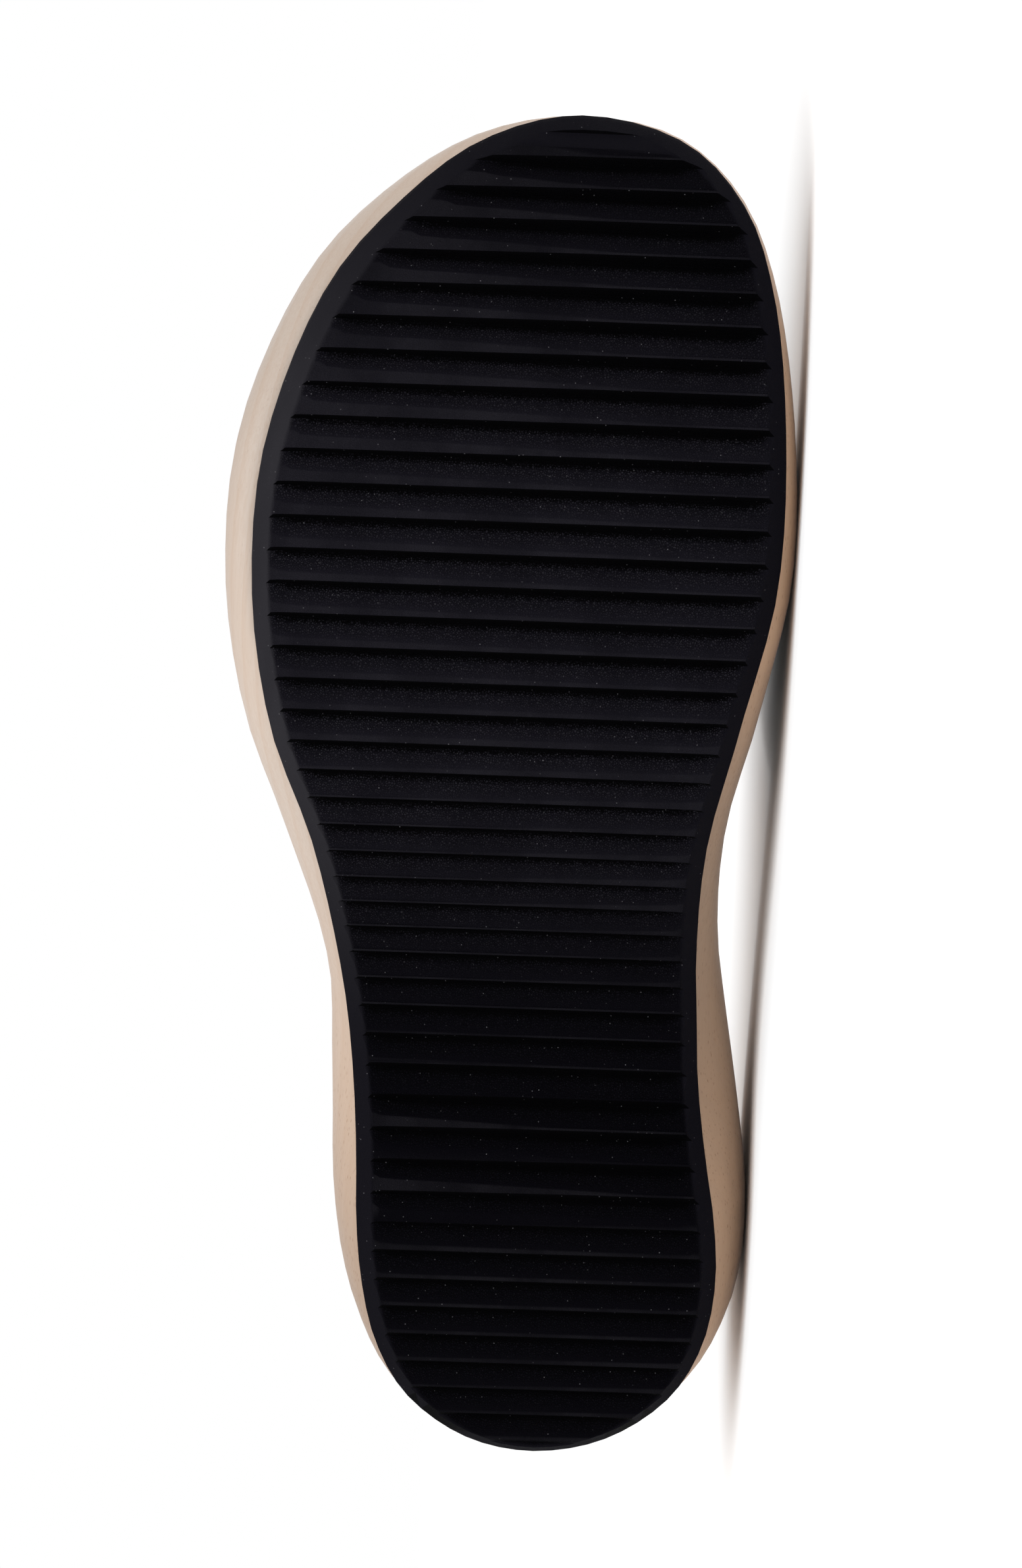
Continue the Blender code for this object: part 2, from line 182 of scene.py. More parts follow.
WOOD_SMOOTH = math.radians(38)
WOOD_ROUGH = (0.42, 0.54)
WOOD_RELIEF = 0.00004
FIBRE_RELIEF = 0.5
PITH = (0.0, -0.11, -0.02)
TRUNK_SCALE = (0.02, 1, 1)
RING_WIDTH = 0.0036
RING_WANDER = 0.0022
LATE_FROM, LATE_FULL = 0.45, 0.97
WANDER_SIZE = (0.12, 0.03, 0.03)
PATCH_SIZE = (0.09, 0.016, 0.016)
FIBRE_SIZE = (0.014, 0.00045, 0.00045)
RAY_SIZE = (0.0021, 0.00046, 0.00046)
RAY_RADIUS, RAY_SHARE = 0.30, 0.85
RAY_FAINT, RAY_STRONG = 0.3, 0.8
RAY_IN_SAPWOOD, RAY_HEART = 0.12, 0.8
PATCHES_SHOW, RINGS_SHOW, FIBRES_SHOW = 0.18, 0.22, 0.14
SAPWOOD = (0.515, 0.43, 0.365, 1)
HEARTWOOD_SHADED = (0.475, 0.305, 0.193, 1)
BEECH_DEEP = (0.43, 0.285, 0.19, 1)
BEECH_RAY = (0.25, 0.12, 0.055, 1)
OUTER_SIDE, INNER_SIDE = 0.085, 0.02
HEART_SHADE_FROM, HEART_SHADE_FULL, HEEL_HEART_SHADE = 0.02, -0.1, 0.7
# Painted shade and light on the wood's sides: where the colour is made darker or paler, and by how much
TOE_FROM, TOE_FULL, WOOD_TOE_SHADE = 0.02, 0.09, 0.8
HEEL_FROM, HEEL_FULL, WOOD_HEEL_SHADE = -0.03, -0.12, 0.62
BALL_MIDDLE, BALL_REACH, WOOD_BALL_LIGHT = 0.062, 0.045, 1.4
WAIST_MIDDLE, WAIST_REACH, WAIST_CORE, WOOD_WAIST_SHADE = -0.018, 0.07, 0.01, 0.68
INNER_SHADED = 0.015
RIM_PLAIN, SIDE_SHADED = 0.005, -0.036

platform = joined_copy("platform", "platform_beech")
bpy.ops.object.shade_smooth_by_angle(angle=WOOD_SMOOTH)

beech, tree, shader = new_material("beech")
point = place_of(tree)
patches = placed(tree, clouds, Point=point, Cell=PATCH_SIZE, Detail=2.0)["Value"]
fibres = placed(tree, clouds, Point=point, Cell=FIBRE_SIZE, Detail=3.0)["Value"]
wander = placed(tree, clouds, Point=point, Cell=WANDER_SIZE, Detail=1.0)["Value"]
from_pith = add(tree, "ShaderNodeMapping", {
    "Vector": point, "Location": tuple(-v for v in PITH), "Scale": TRUNK_SCALE}).outputs["Vector"]
radius = add(tree, "ShaderNodeVectorMath", {0: from_pith}, operation="LENGTH").outputs["Value"]
radius = sums(tree, "ADD", radius, sums(tree, "MULTIPLY", wander, RING_WANDER))
season = sums(tree, "FRACT", sums(tree, "DIVIDE", radius, RING_WIDTH))
ripened = ramp(tree, season, LATE_FROM, LATE_FULL)
late_wood = sums(tree, "MULTIPLY", ripened, ramp(tree, season, 1.0, LATE_FULL))
rays = placed(tree, marks, Point=point, Cell=RAY_SIZE, Radius=RAY_RADIUS, Share=RAY_SHARE)
parts = add(tree, "ShaderNodeSeparateXYZ", {"Vector": point}).outputs
# Heartwood and painted shade: the inner side, which faces the floor, and the heel are painted darker and
# redder than the outer side
to_inner = ramp(tree, parts["Z"], OUTER_SIDE, INNER_SIDE)
heartwood_and_shade = sums(tree, "ADD", to_inner, ramp(tree, parts["X"], HEART_SHADE_FROM, HEART_SHADE_FULL, 0.0, HEEL_HEART_SHADE))
colour = mixed(tree, heartwood_and_shade, SAPWOOD, HEARTWOOD_SHADED)
for mask, share in ((patches, PATCHES_SHOW), (late_wood, RINGS_SHOW), (fibres, FIBRES_SHOW)):
    colour = mixed(tree, sums(tree, "MULTIPLY", mask, share), colour, BEECH_DEEP)
ray_depth = sums(tree, "MULTIPLY", rays["Mask"], ramp(tree, rays["Tone"], 0.0, 1.0, RAY_FAINT, RAY_STRONG))
ray_depth = sums(tree, "MULTIPLY", ray_depth, ramp(tree, heartwood_and_shade, 0.0, RAY_HEART, RAY_IN_SAPWOOD, 1.0))
colour = mixed(tree, ray_depth, colour, BEECH_RAY)

# Painted light and shade: below the rim the wood is painted darker to the toe and heel on the outer side, and
# on the inner side it is painted paler at the ball and darker at the waist
from_ball = sums(tree, "ABSOLUTE", sums(tree, "SUBTRACT", parts["X"], BALL_MIDDLE))
from_waist = sums(tree, "ABSOLUTE", sums(tree, "SUBTRACT", parts["X"], WAIST_MIDDLE))
painted_toe_shade = ramp(tree, parts["X"], TOE_FROM, TOE_FULL, 1.0, WOOD_TOE_SHADE)
painted_heel_shade = ramp(tree, parts["X"], HEEL_FROM, HEEL_FULL, 1.0, WOOD_HEEL_SHADE)
painted_ball_light = ramp(tree, from_ball, BALL_REACH, 0.0, 1.0, WOOD_BALL_LIGHT)
painted_waist_shade = ramp(tree, from_waist, WAIST_REACH, WAIST_CORE, 1.0, WOOD_WAIST_SHADE)
outer_side_shade = sums(tree, "MULTIPLY", painted_toe_shade, painted_heel_shade)
inner_side_light_shade = sums(tree, "MULTIPLY", painted_ball_light, painted_waist_shade)
painted_wood_light_shade = ramp(tree, parts["Z"], OUTER_SIDE, INNER_SHADED, outer_side_shade, inner_side_light_shade)
painted_wood_light_shade = ramp(tree, parts["Y"], RIM_PLAIN, SIDE_SHADED, 1.0, painted_wood_light_shade)
colour = add(tree, "ShaderNodeVectorMath", {0: colour, "Scale": painted_wood_light_shade}, operation="SCALE").outputs["Vector"]

rough = ramp(tree, fibres, 0.0, 1.0, *WOOD_ROUGH)
relief = sums(tree, "SUBTRACT", sums(tree, "MULTIPLY", fibres, FIBRE_RELIEF), rays["Mask"])
finish_with(tree, shader, colour, rough, relief, strength=0.5, distance=WOOD_RELIEF)
shader.inputs["Sheen Weight"].default_value = 0.15
shader.inputs["Sheen Roughness"].default_value = 0.4
platform.data.materials.append(beech)
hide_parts("platform")
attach(platform, "root")

# Outsole: one sheet of black rubber, moulded with sawtooth ribs across it and a bevel all round, and glued
# under the wood. The long slopes of the ribs come grained from the mould; steep walls and bevel are smoother.

GLUE = 0.00028
SHEET = 0.0048 + GLUE
GROOVE_DEPTH = 0.0016
SOLE_UP = Vector((0, 0.99971, 0.02391))
SOLE_AHEAD = Vector((0.99994, -0.00027, 0.01134))
SOLE_OUT = Vector((-0.01134, -0.02391, 0.99965))
BEVEL, TOE_BEVEL = 0.0032, 0.0012
TOE_BEVEL_FROM, TOE_TIP = 0.102, 0.1279
GLUED_LOOKS_UP = 0.71
WALL_LOOKS_AHEAD, WALL_LOOKS_OUT = -0.35, 0.5
HEEL_END = -0.118
RUBBER_SMOOTH = math.radians(25)
RUBBER_ROUGH = (0.7, 0.85)
RUBBER_RELIEF = 0.0002
RUBBER_SHADE = (0.0005, 0.0004, 0.0008, 1)
RUBBER_BLACK = (0.0012, 0.001, 0.0021, 1)
RUBBER_DUSTY_LIT = (0.0062, 0.0057, 0.0086, 1)
RUBBER_GLINT = (0.03, 0.0285, 0.034, 1)
RUBBER_EDGE = (0.0046, 0.0042, 0.0064, 1)
RUBBER_BUFFED_LIT = (0.021, 0.02, 0.0235, 1)
RUBBER_SPECK = (0.11, 0.107, 0.115, 1)
RUBBER_PEBBLE, RUBBER_FINE = (0.00042,) * 3, (0.0002,) * 3
SPECK_CELL, SPECK_RADIUS, SPECK_SHARE = (0.0011,) * 3, 0.13, 0.4
HAZE_SIZE = (0.03, 0.012, 0.012)
BALL_AT, BALL_HALF, BALL_CORE = 0.045, 0.095, 0.02
DUST_THIN = 0.75
TREAD_FROM, TREAD_FULL = 0.8, 1.1
CREST_DEPTH, GRAIN_DEPTH = 0.02, 0.35
CREST_GRAIN, BEVEL_GRAIN = 0.25, 0.1
GLINT_FROM, GLINT_FULL = 1.15, 1.5
GLINT_LEAST, GLINT_MOST = 0.12, 0.7
CREST_HIGHLIGHT_DEPTH, CREST_HIGHLIGHT_FAINT, CREST_HIGHLIGHT_FULL = 0.05, 0.08, 0.2
GRAIN_LOW, GRAIN_HIGH, GRAIN_SHIFT = 0.6, 1.5, 0.12
TOE_SHADE_FROM, TOE_SHADE_FULL, TOE_SHIFT = 0.085, 0.115, 0.08
GROOVE_SHADE_FROM, GROOVE_SHADE_FULL = 0.54, 0.9
BUFFED_LIT_FROM, BUFFED_LIT_FULL = 0.045, 0.085

outsole = joined_copy("outsole", "outsole_rubber")


def select_faces(piece, wanted):
    """Selects in edit mode the faces that a test picks by middle and normal."""
    bpy.ops.object.mode_set(mode="EDIT")
    bpy.ops.mesh.select_mode(type="FACE")
    bpy.ops.mesh.select_all(action="DESELECT")
    bpy.ops.object.mode_set(mode="OBJECT")
    for face in piece.data.polygons:
        face.select = wanted(face.center, face.normal)
    bpy.ops.object.mode_set(mode="EDIT")


select_faces(outsole, lambda middle, normal: normal.y > GLUED_LOOKS_UP)
bpy.ops.transform.translate(value=(0, GLUE, 0))
bpy.ops.object.mode_set(mode="OBJECT")
bpy.ops.object.shade_smooth_by_angle(angle=RUBBER_SMOOTH)


def write_values(piece, name, values, domain="POINT"):
    """Stores one number for each vertex or face as a named attribute."""
    layer = piece.data.attributes.new(name, "FLOAT", domain)
    layer.data.foreach_set("value", values)


glued = {v for face in outsole.data.polygons if face.normal.y > GLUED_LOOKS_UP for v in face.vertices}
glued_spots = [outsole.data.vertices[v].co for v in glued]
stations, tops = zip(*sorted((spot.dot(SOLE_AHEAD), spot.dot(SOLE_UP)) for spot in glued_spots))


def tread_at(spot, step=0.001):
    """Height of the tread without its grooves below a place, and its slope to the toe."""
    ahead = spot.dot(SOLE_AHEAD)
    low, high = np.interp((ahead - step, ahead + step), stations, tops).tolist()
    return (low + high) / 2 - SHEET, (high - low) / (2 * step)


def depth_at(spot):
    """How deep a place is in a groove, square to the tread: 0 on a crest, 1 on the floor of a groove."""
    tread, slope = tread_at(spot)
    return (spot.dot(SOLE_UP) - tread) / math.hypot(1, slope) / GROOVE_DEPTH


def in_plan(spot):
    """A place as seen square to the sole."""
    return Vector((spot.dot(SOLE_AHEAD), spot.dot(SOLE_OUT), 0))


def bevels_in(spot, distance):
    """A distance from the rim in widths of the bevel, which narrows to the toe: 1 where the tread begins."""
    wide = np.interp(spot.dot(SOLE_AHEAD), (TOE_BEVEL_FROM, TOE_TIP), (BEVEL, TOE_BEVEL)).tolist()
    return distance / wide


def filled_in(line, step=0.0005):
    """Points close together along a line."""
    points = []
    for start, end in zip(line, line[1:]):
        count = max(1, math.ceil((end - start).length / step))
        points += [start.lerp(end, k / count) for k in range(count)]
    return points + [line[-1]]


def distance_to(points):
    """A finder of the distance to the nearest of many points."""
    tree = KDTree(len(points))
    for index, spot in enumerate(points):
        tree.insert(spot, index)
    tree.balance()
    return lambda spot: tree.find(spot)[2]


def is_wall(face):
    """Whether a face is the steep side of a rib, which looks to the heel."""
    slope = tread_at(face.center)[1]
    ahead = face.normal.dot((SOLE_AHEAD + slope * SOLE_UP).normalized())
    across = abs(face.normal.z) < WALL_LOOKS_OUT
    return ahead < WALL_LOOKS_AHEAD and across and face.center.x > HEEL_END


skin = bmesh.new()
skin.from_mesh(outsole.data)
rim_spots = []
for edge in skin.edges:
    if len({face.normal.y > GLUED_LOOKS_UP for face in edge.link_faces}) == 2:
        rim_spots += filled_in([in_plan(vertex.co) for vertex in edge.verts])
skin.free()
to_rim = distance_to(rim_spots)
spots = [vertex.co for vertex in outsole.data.vertices]
write_values(outsole, "depth", [depth_at(spot) for spot in spots])
write_values(outsole, "from_rim", [bevels_in(spot, to_rim(in_plan(spot))) for spot in spots])
write_values(outsole, "wall", [float(is_wall(face)) for face in outsole.data.polygons], "FACE")


def stored(tree, name):
    """A value that is stored on the piece as a named attribute."""
    return add(tree, "ShaderNodeAttribute", attribute_name=name).outputs["Fac"]


# Fine pebbles pressed into a surface by its mould or its tanning, with the creases between them
PEBBLE_BEND = 0.7
PEBBLE_SHOULDER = 0.22
FINE_HEIGHT = 0.6
pebbles, given, result = new_group(
    "pebble_grain",
    [("Point", "NodeSocketVector"), ("Pebble", "NodeSocketVector"), ("Fine", "NodeSocketVector")],
    [("Height", "NodeSocketFloat"), ("Crease", "NodeSocketFloat")])
in_pebbles = in_cells(pebbles, given["Point"], given["Pebble"])
in_fine = in_cells(pebbles, given["Point"], given["Fine"])
bent = add(pebbles, "ShaderNodeTexNoise", {"Vector": in_pebbles, "Scale": PEBBLE_BEND}).outputs["Color"]
shaken = add(pebbles, "ShaderNodeVectorMath", {0: bent, 1: in_pebbles}, operation="ADD").outputs["Vector"]
edges = add(pebbles, "ShaderNodeTexVoronoi", {"Vector": shaken, "Scale": 1.0}, feature="DISTANCE_TO_EDGE")
swell = ramp(pebbles, edges.outputs["Distance"], 0.0, PEBBLE_SHOULDER)
fine = add(pebbles, "ShaderNodeTexNoise", {"Vector": in_fine, "Scale": 1.0, "Detail": 2.0}).outputs["Fac"]
fine = sums(pebbles, "MULTIPLY", fine, FINE_HEIGHT)
pebbles.links.new(sums(pebbles, "ADD", fine, swell), result["Height"])
pebbles.links.new(sums(pebbles, "SUBTRACT", 1.0, swell), result["Crease"])

rubber, tree, shader = new_material("rubber")
point = place_of(tree)
depth, from_rim, on_wall = (stored(tree, name) for name in ("depth", "from_rim", "wall"))
grain = placed(tree, pebbles, Point=point, Pebble=RUBBER_PEBBLE, Fine=RUBBER_FINE)
specks = placed(tree, marks, Point=point, Cell=SPECK_CELL, Radius=SPECK_RADIUS, Share=SPECK_SHARE)
haze = placed(tree, clouds, Point=point, Cell=HAZE_SIZE, Detail=3.0)["Value"]
parts = add(tree, "ShaderNodeSeparateXYZ", {"Vector": point}).outputs
# Painted light and dust: the rubber is painted paler round the ball, where the light is strongest, with dust
# in soft clouds over it
from_ball = sums(tree, "ABSOLUTE", sums(tree, "SUBTRACT", parts["X"], BALL_AT))
painted_ball_light = ramp(tree, from_ball, BALL_HALF, BALL_CORE)
dust_and_painted_light = sums(tree, "MULTIPLY", painted_ball_light, ramp(tree, haze, 0.0, 1.0, DUST_THIN, 1.0))
on_tread = ramp(tree, from_rim, TREAD_FROM, TREAD_FULL)
pressed = sums(tree, "MULTIPLY", on_tread, ramp(tree, depth, CREST_DEPTH, GRAIN_DEPTH, CREST_GRAIN, 1.0))
# Painted glints: the tips of the pebbles on the slopes are painted pale, most of all round the ball
painted_glints = sums(tree, "MULTIPLY", ramp(tree, grain["Height"], GLINT_FROM, GLINT_FULL), pressed)
painted_glints = sums(tree, "MULTIPLY", painted_glints, ramp(tree, dust_and_painted_light, 0.0, 1.0, GLINT_LEAST, GLINT_MOST))
# Painted highlight: a pale line along the crests of the ribs, stronger in soft clouds
crests = ramp(tree, depth, CREST_HIGHLIGHT_DEPTH, 0.0)
painted_crest_highlight = sums(tree, "MULTIPLY", crests, ramp(tree, haze, 0.0, 1.0, CREST_HIGHLIGHT_FAINT, CREST_HIGHLIGHT_FULL))
# Painted shade: deep in the grooves, low in the grain and towards the toe the rubber is painted nearly black
uneven = ramp(tree, grain["Height"], GRAIN_LOW, GRAIN_HIGH, GRAIN_SHIFT, -GRAIN_SHIFT)
painted_toe_shade = ramp(tree, parts["X"], TOE_SHADE_FROM, TOE_SHADE_FULL, 0.0, TOE_SHIFT)
painted_groove_shade = sums(tree, "ADD", sums(tree, "ADD", depth, uneven), painted_toe_shade)
# Buffing and painted light: the bevel on the outer side, which faces the light, is painted paler round the
# ball
buffed_and_painted_light = sums(tree, "MULTIPLY", dust_and_painted_light, ramp(tree, parts["Z"], BUFFED_LIT_FROM, BUFFED_LIT_FULL))
colour = mixed(tree, dust_and_painted_light, RUBBER_BLACK, RUBBER_DUSTY_LIT)
colour = mixed(tree, sums(tree, "MAXIMUM", painted_glints, painted_crest_highlight), colour, RUBBER_GLINT)
colour = mixed(tree, ramp(tree, painted_groove_shade, GROOVE_SHADE_FROM, GROOVE_SHADE_FULL), colour, RUBBER_SHADE)
colour = mixed(tree, on_tread, mixed(tree, buffed_and_painted_light, RUBBER_EDGE, RUBBER_BUFFED_LIT), colour)
# Painted shade on the steep walls of the ribs
colour = mixed(tree, on_wall, colour, RUBBER_SHADE)
colour = mixed(tree, sums(tree, "MULTIPLY", specks["Mask"], specks["Tone"]), colour, RUBBER_SPECK)
rough = ramp(tree, sums(tree, "ADD", grain["Height"], haze), 0.2, 2.2, *RUBBER_ROUGH)
grained = sums(tree, "ADD", sums(tree, "MULTIPLY", pressed, 1 - BEVEL_GRAIN), BEVEL_GRAIN)
height = sums(tree, "MULTIPLY", grain["Height"], grained)
finish_with(tree, shader, colour, rough, height, strength=1.0, distance=RUBBER_RELIEF)
shader.inputs["Specular IOR Level"].default_value = 0.025
outsole.data.materials.append(rubber)
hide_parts("outsole")
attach(outsole, "root")

# Upper: one broad band of black leather with a tan lining, over the ball and the instep. Its cut edges are
# rounded and painted, and its two ends lie in a rabbet on each side of the wood.

EDGE_ROUND = 0.0006
RIM_ANGLE, SHARP_ANGLE = math.radians(60), math.radians(55)
RIM_LOOKS_OUT, CUT_LOOKS = 0.4, 0.6
QUAD_BEND, QUAD_SKEW = math.radians(30), math.radians(70)
FOOT_LINE = Vector((0.0, -0.012, 0.047))
SEAM_IN = 0.0038
CORNER_PARED, CORNER_REACH = 0.0004, 0.009
OUTSIDE, EDGE, LINED = 0, 1, 2
EDGE_WITHIN = 0.42
LEATHER_BLACK = (0.012, 0.011, 0.0105, 1)
LEATHER_WORN = (0.028, 0.0255, 0.024, 1)
LEATHER_PEBBLE, LEATHER_FINE = (0.0009,) * 3, (0.00022,) * 3
LEATHER_HAZE = (0.02,) * 3
LEATHER_ROUGH = (0.36, 0.56)
LEATHER_RELIEF = 0.00007
HAZE_SHOWS = 0.35
RUB_REACH, RUB_LEAST, RUB_MOST = 0.35, 0.2, 0.9
TROUGH_HALF, TROUGH_DEPTH = 0.3, -4.0
EDGE_PAINT = (0.016, 0.0135, 0.012, 1)
PAINT_CLOUD = (0.004,) * 3
PAINT_ROUGH = (0.42, 0.62)
PAINT_RELIEF = 0.0001
LINING_TAN = (0.50, 0.335, 0.205, 1)
LINING_DEEP = (0.39, 0.245, 0.14, 1)
LINING_PORE = (0.2, 0.115, 0.06, 1)
LINING_HAZE = (0.018,) * 3
LINING_PEBBLE, LINING_FINE = (0.0007,) * 3, (0.0002,) * 3
LINING_ROUGH = (0.74, 0.58)
LINING_RELIEF = 0.00005
PORE_CELL, PORE_RADIUS, PORE_SHARE = (0.0014,) * 3, 0.16, 0.7
PORES_SHOW, PORE_DEPTH = 0.45, 1.5

band = joined_copy("upper", "upper_band")


def outward(middle, normal):
    """How far a face of the band looks away from the foot: 1 outside, -1 inside, 0 at a cut edge."""
    away = Vector((0, middle.y - FOOT_LINE.y, middle.z - FOOT_LINE.z)).normalized()
    return normal.dot(away)


def rim_line(toward):
    """The sharp line where the outside of the band meets one of its cut edges, in order around the foot."""
    skin = bmesh.new()
    skin.from_mesh(band.data)
    line = set()
    for edge in skin.edges:
        sides = sorted(edge.link_faces, key=lambda face: outward(face.calc_center_median(), face.normal))
        cut, out = sides[0].normal, outward(sides[1].calc_center_median(), sides[1].normal)
        if edge.calc_face_angle() > RIM_ANGLE and out > RIM_LOOKS_OUT and cut.dot(toward) > CUT_LOOKS:
            line.update(vertex.co.copy().freeze() for vertex in edge.verts)
    skin.free()
    return sorted(line, key=lambda spot: math.atan2(FOOT_LINE.z - spot.z, spot.y - FOOT_LINE.y))


front_rim, back_rim = rim_line(Vector((1, 0, 0))), rim_line(Vector((-1, 0, 0)))
end_rim = rim_line(Vector((0, -1, 0)))

# The front corner at the outer end is pared thin, so that it lies below the wood in front of it
corner = max(front_rim, key=lambda spot: spot.z)
for vertex in band.data.vertices:
    vertex.co.z -= CORNER_PARED * max(0.0, 1 - (vertex.co - corner).length / CORNER_REACH)

bpy.ops.object.mode_set(mode="EDIT")
bpy.ops.mesh.select_all(action="SELECT")
bpy.ops.mesh.tris_convert_to_quads(face_threshold=QUAD_BEND, shape_threshold=QUAD_SKEW)
bpy.ops.mesh.select_mode(type="EDGE")
bpy.ops.mesh.select_all(action="DESELECT")
bpy.ops.mesh.edges_select_sharp(sharpness=SHARP_ANGLE)
bpy.ops.mesh.bevel(offset=EDGE_ROUND, segments=2, affect="EDGES", profile=0.5)
bpy.ops.object.mode_set(mode="OBJECT")
for face in band.data.polygons:
    turned = outward(face.center, face.normal)
    face.material_index = OUTSIDE if turned > EDGE_WITHIN else LINED if turned < -EDGE_WITHIN else EDGE
smoother = band.modifiers.new("smoother", "SUBSURF")
smoother.levels = smoother.render_levels = 2
bpy.ops.object.modifier_apply(modifier="smoother")
bpy.ops.object.shade_smooth()

to_rim = distance_to(filled_in(front_rim) + filled_in(back_rim))
write_values(band, "from_rim", [to_rim(vertex.co) / SEAM_IN for vertex in band.data.vertices])

leather, tree, shader = new_material("leather")
point = place_of(tree)
from_rim = stored(tree, "from_rim")
grain = placed(tree, pebbles, Point=point, Pebble=LEATHER_PEBBLE, Fine=LEATHER_FINE)
haze = placed(tree, clouds, Point=point, Cell=LEATHER_HAZE, Detail=3.0)["Value"]
at_rim = ramp(tree, from_rim, RUB_REACH, 0.0)
rub = sums(tree, "MULTIPLY", at_rim, ramp(tree, haze, 0.2, 0.8, RUB_LEAST, RUB_MOST))
colour = mixed(tree, sums(tree, "MULTIPLY", haze, HAZE_SHOWS), LEATHER_BLACK, LEATHER_WORN)
colour = mixed(tree, rub, colour, LEATHER_WORN)
rough = ramp(tree, sums(tree, "ADD", grain["Crease"], haze), 0.0, 1.8, *LEATHER_ROUGH)
from_seam = sums(tree, "ABSOLUTE", sums(tree, "SUBTRACT", from_rim, 1.0))
trough = ramp(tree, from_seam, 0.0, TROUGH_HALF, TROUGH_DEPTH, 0.0)
height = sums(tree, "ADD", grain["Height"], trough)
finish_with(tree, shader, colour, rough, height, strength=0.6, distance=LEATHER_RELIEF)
shader.inputs["Coat Weight"].default_value = 0.12
shader.inputs["Coat Roughness"].default_value = 0.35

edge_paint, tree, shader = new_material("edge_paint")
layers = placed(tree, clouds, Point=place_of(tree), Cell=PAINT_CLOUD, Detail=4.0)["Value"]
colour = mixed(tree, layers, EDGE_PAINT, LEATHER_WORN)
rough = ramp(tree, layers, 0.0, 1.0, *PAINT_ROUGH)
finish_with(tree, shader, colour, rough, layers, strength=0.4, distance=PAINT_RELIEF)

lining, tree, shader = new_material("lining")
point = place_of(tree)
haze = placed(tree, clouds, Point=point, Cell=LINING_HAZE, Detail=4.0)["Value"]
pores = placed(tree, marks, Point=point, Cell=PORE_CELL, Radius=PORE_RADIUS, Share=PORE_SHARE)["Mask"]
nap = placed(tree, pebbles, Point=point, Pebble=LINING_PEBBLE, Fine=LINING_FINE)
colour = mixed(tree, haze, LINING_TAN, LINING_DEEP)
colour = mixed(tree, sums(tree, "MULTIPLY", pores, PORES_SHOW), colour, LINING_PORE)
rough = ramp(tree, nap["Height"], 0.0, 1.4, *LINING_ROUGH)
height = sums(tree, "SUBTRACT", nap["Height"], sums(tree, "MULTIPLY", pores, PORE_DEPTH))
finish_with(tree, shader, colour, rough, height, strength=0.5, distance=LINING_RELIEF)

for finish in (leather, edge_paint, lining):
    band.data.materials.append(finish)
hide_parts("upper")
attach(band, "root")

# Stitches: a row of waxed black thread along the front and back edges of the band, which sews the lining in.
# Each stitch is a short swelling of thread that dives into the leather at both ends. The floor presses the
# lowest ones in.

STITCH_PITCH = 0.0036
STITCH_LENGTH = 0.0029
STITCH_WIDE = 0.0008
STITCH_DIVE = 0.00042
STITCH_PROUD = 0.0001
STITCH_CLEAR = 0.0045
SEAM_LIFT = 0.0015
THREAD_BLACK = (0.02, 0.019, 0.018, 1)
THREAD_SHINE = (0.05, 0.047, 0.044, 1)
THREAD_STRAND = (0.0006, 0.0002, 0.0002)
THREAD_ROUGH = (0.55, 0.4)
THREAD_RELIEF = 0.00006

bpy.ops.object.select_all(action="DESELECT")
bpy.ops.mesh.primitive_uv_sphere_add(segments=8, ring_count=8, radius=0.5, rotation=(0, math.pi / 2, 0))
stitch = bpy.context.object
bpy.ops.object.transform_apply(location=True, rotation=True, scale=True)
bpy.ops.object.mode_set(mode="EDIT")
bpy.ops.mesh.select_all(action="SELECT")
bpy.ops.transform.resize(value=(STITCH_LENGTH, STITCH_WIDE, STITCH_WIDE))
bpy.ops.object.mode_set(mode="OBJECT")
for vertex in stitch.data.vertices:
    vertex.co.z -= STITCH_DIVE * (2 * vertex.co.x / STITCH_LENGTH) ** 4


def on_surface(piece):
    """A finder of the nearest point of a piece's skin, with the direction out of it."""
    skin = BVHTree.FromObject(piece, bpy.context.evaluated_depsgraph_get())
    return lambda spot: skin.find_nearest(spot)[:2]


def copies_on(model, name, spots):
    """One piece made of copies of a small model, each with its own mesh, set on spots: middle, along, up."""
    parts = []
    for middle, along, up in spots:
        part = model.copy()
        part.data = model.data.copy()
        bpy.context.collection.objects.link(part)
        ahead = (along - up * along.dot(up)).normalized()
        turn = Matrix((ahead, up.cross(ahead), up)).transposed().to_4x4()
        part.matrix_world = Matrix.Translation(middle) @ turn
        parts.append(part)
    bpy.data.objects.remove(model)
    bpy.ops.object.select_all(action="DESELECT")
    for part in parts:
        part.select_set(True)
    bpy.context.view_layer.objects.active = parts[0]
    bpy.ops.object.transform_apply(location=True, rotation=True, scale=True)
    bpy.ops.object.join()
    piece = bpy.context.object
    piece.name = piece.data.name = name
    bpy.ops.object.shade_smooth()
    return piece


nearest = on_surface(band)


def seam_spot(spot, inward):
    """The place on the outside of the band that is as far from a place on its rim as the seam."""
    lift = SEAM_LIFT * Vector((0, spot.y - FOOT_LINE.y, spot.z - FOOT_LINE.z)).normalized()
    first = nearest(spot + Vector((inward * SEAM_IN, 0, 0)) + lift)[0]
    return nearest(spot + SEAM_IN * (first - spot).normalized())[0]


